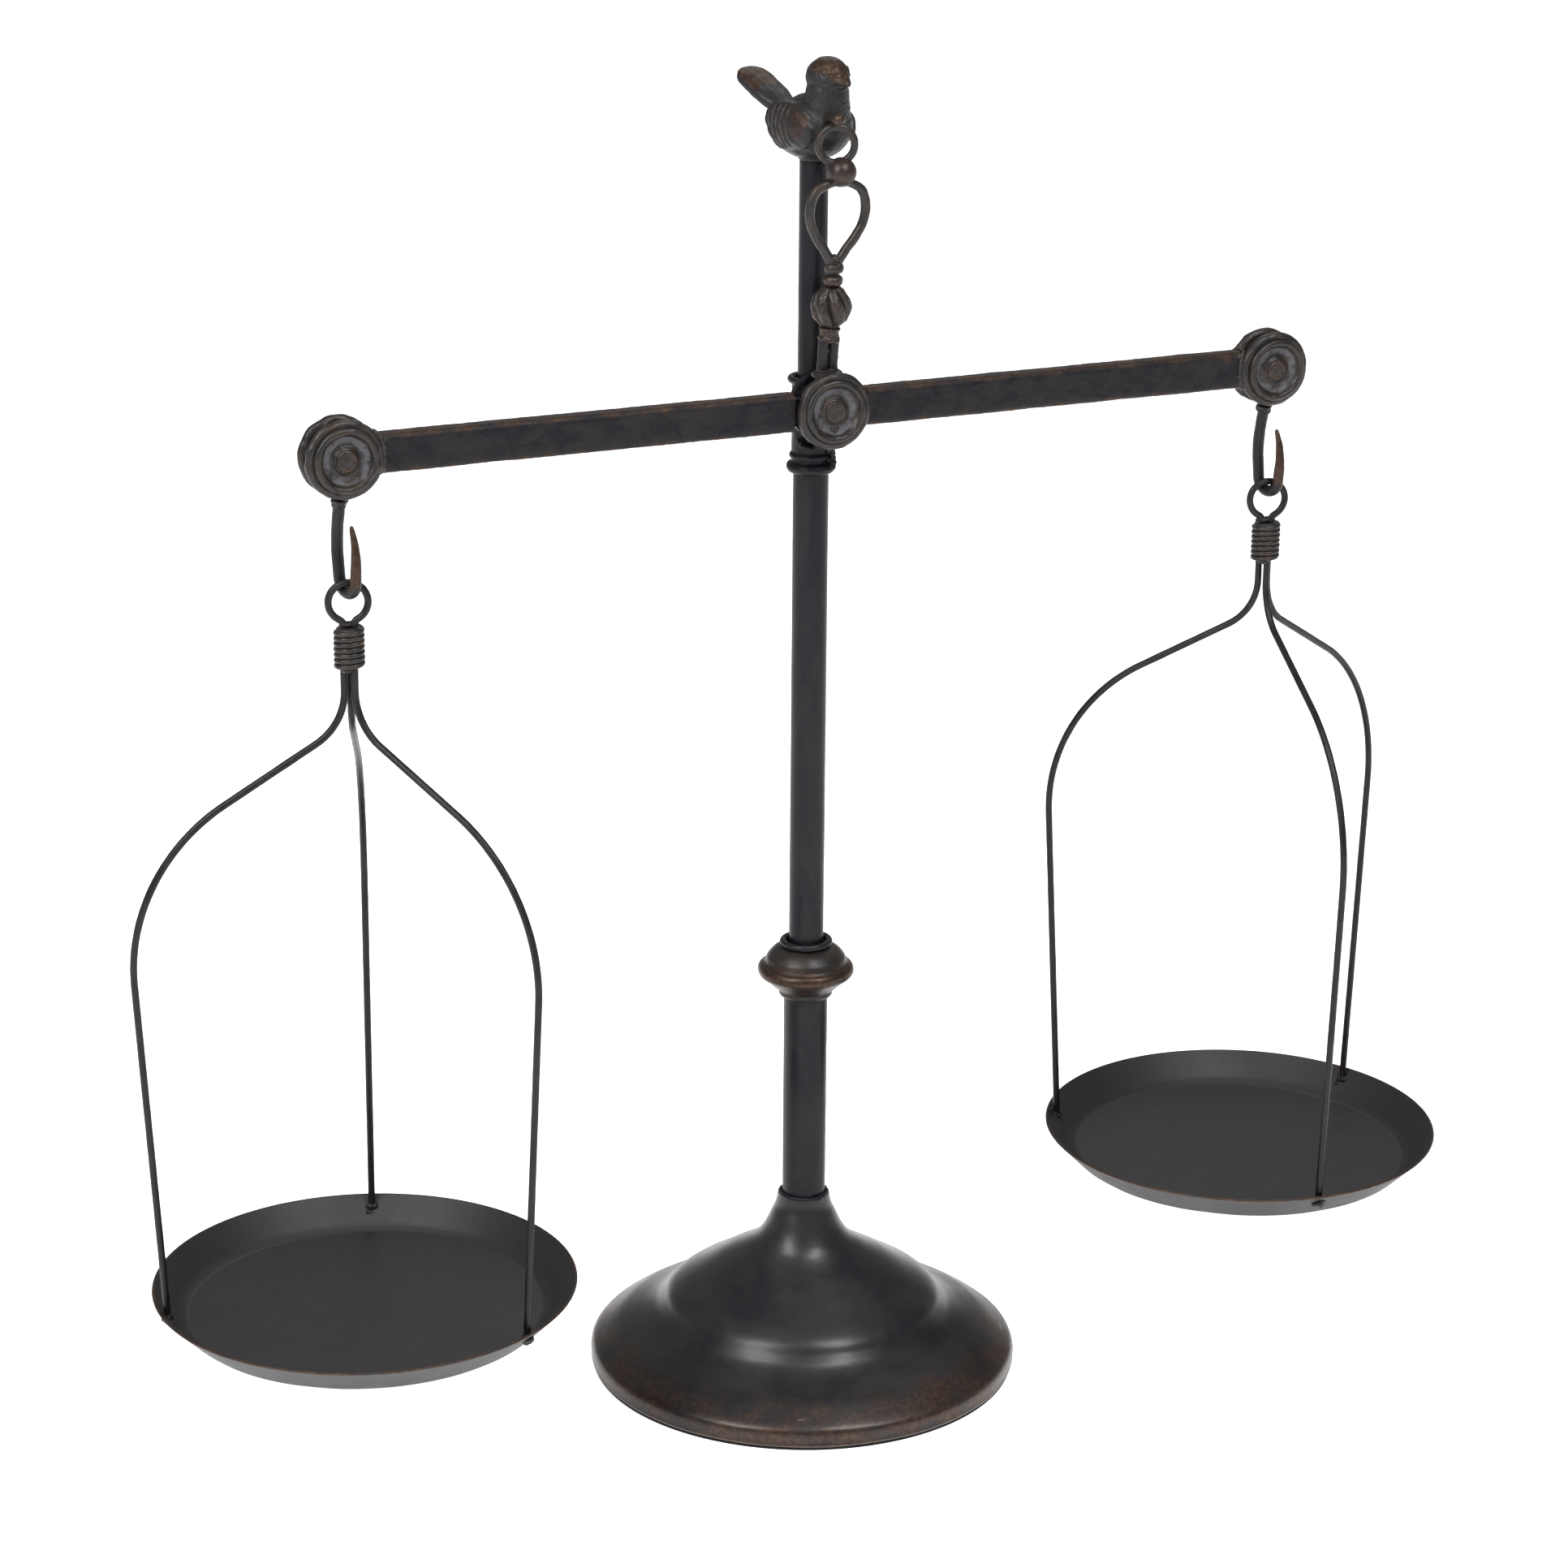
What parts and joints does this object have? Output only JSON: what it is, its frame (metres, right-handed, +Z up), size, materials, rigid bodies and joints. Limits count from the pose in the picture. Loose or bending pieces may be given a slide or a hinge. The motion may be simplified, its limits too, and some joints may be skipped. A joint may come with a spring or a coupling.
{
  "type": "equal arm balance scale",
  "caption": "Equal arm balance on a turned post: a rocking beam with a hook at each end, a round pan hung on wire arms from each hook, and a small bird on top.",
  "frame": {"origin": "centre of the base on the surface that the scale stands on", "axes": "+Z up, +X along the beam towards the right pan, -Y towards the front, where the hubs and the bird face"},
  "size_m": [0.6067, 0.208, 0.5835],
  "materials": {
    "black_enamel": "satin black enamel, fine orange peel, brown rub-through on edges",
    "mottled_black": "rough mottled black with brown rub-through along the edges",
    "bronzed_iron": "dark bronze rubbed back over black, satin",
    "blackened_wire": "satin black wire with faint brown wear",
    "felt": "black felt"
  },
  "bodies": {
    "stand": {"base_shell": "black_enamel", "base_plate": "black_enamel", "felt_pad": "felt", "neck_weld": "black_enamel", "lower_tube": "black_enamel", "knop": "bronzed_iron", "knop_ring": "blackened_wire", "mid_tube": "black_enamel", "collar": "black_enamel", "collar_ring": "blackened_wire", "collar_weld": "black_enamel", "upper_tube": "black_enamel", "rear_cheek": "mottled_black", "front_cheek": "bronzed_iron", "pivot_pin": "bronzed_iron", "hanger_bridge": "bronzed_iron", "hanger_legs": "blackened_wire", "hanger_ferrule": "bronzed_iron", "hanger_knob": "bronzed_iron", "hanger_caps": "bronzed_iron", "hanger_loop": "blackened_wire", "hanger_ball": "bronzed_iron", "hanger_ring": "bronzed_iron", "bird": "bronzed_iron", "bird_peg": "bronzed_iron"},
    "beam": {"beam_eye": "mottled_black", "left_beam_tube": "mottled_black", "left_hub_front": "bronzed_iron", "left_hub_rear": "bronzed_iron", "left_end_pin": "bronzed_iron", "left_end_weld": "bronzed_iron", "right_beam_tube": "mottled_black", "right_hub_front": "bronzed_iron", "right_hub_rear": "bronzed_iron", "right_end_pin": "bronzed_iron", "right_end_weld": "bronzed_iron"},
    "left_hook": {"left_hook": "blackened_wire"},
    "left_pan": {"left_pan_ring": "blackened_wire", "left_wrap": "bronzed_iron", "left_arm_rear": "blackened_wire", "left_arm_outer": "blackened_wire", "left_arm_front": "blackened_wire", "left_dish": "black_enamel", "left_arm_welds": "blackened_wire"},
    "right_hook": {"right_hook": "blackened_wire"},
    "right_pan": {"right_pan_ring": "blackened_wire", "right_wrap": "bronzed_iron", "right_arm_rear": "blackened_wire", "right_arm_outer": "blackened_wire", "right_arm_front": "blackened_wire", "right_dish": "black_enamel", "right_arm_welds": "blackened_wire"}
  },
  "joints": [
    {"name": "beam_rock", "type": "hinge", "parent": "stand", "child": "beam", "pos_m": [0, -0.015, 0.4395], "axis": [0, 1, 0], "range_deg": [-8, 8]},
    {"name": "left_hook_swing", "type": "hinge", "parent": "beam", "child": "left_hook", "pos_m": [-0.212, -0.015, 0.4385], "axis": [0, 1, 0], "range_deg": [-9, 20]},
    {"name": "left_pan_swing", "type": "hinge", "parent": "left_hook", "child": "left_pan", "pos_m": [-0.212, -0.0195, 0.3883], "axis": [1, 0, 0], "range_deg": [-12, 12]},
    {"name": "right_hook_swing", "type": "hinge", "parent": "beam", "child": "right_hook", "pos_m": [0.212, -0.015, 0.4385], "axis": [0, 1, 0], "range_deg": [-20, 9]},
    {"name": "right_pan_swing", "type": "hinge", "parent": "right_hook", "child": "right_pan", "pos_m": [0.212, -0.0195, 0.3883], "axis": [1, 0, 0], "range_deg": [-12, 12]}
  ]
}
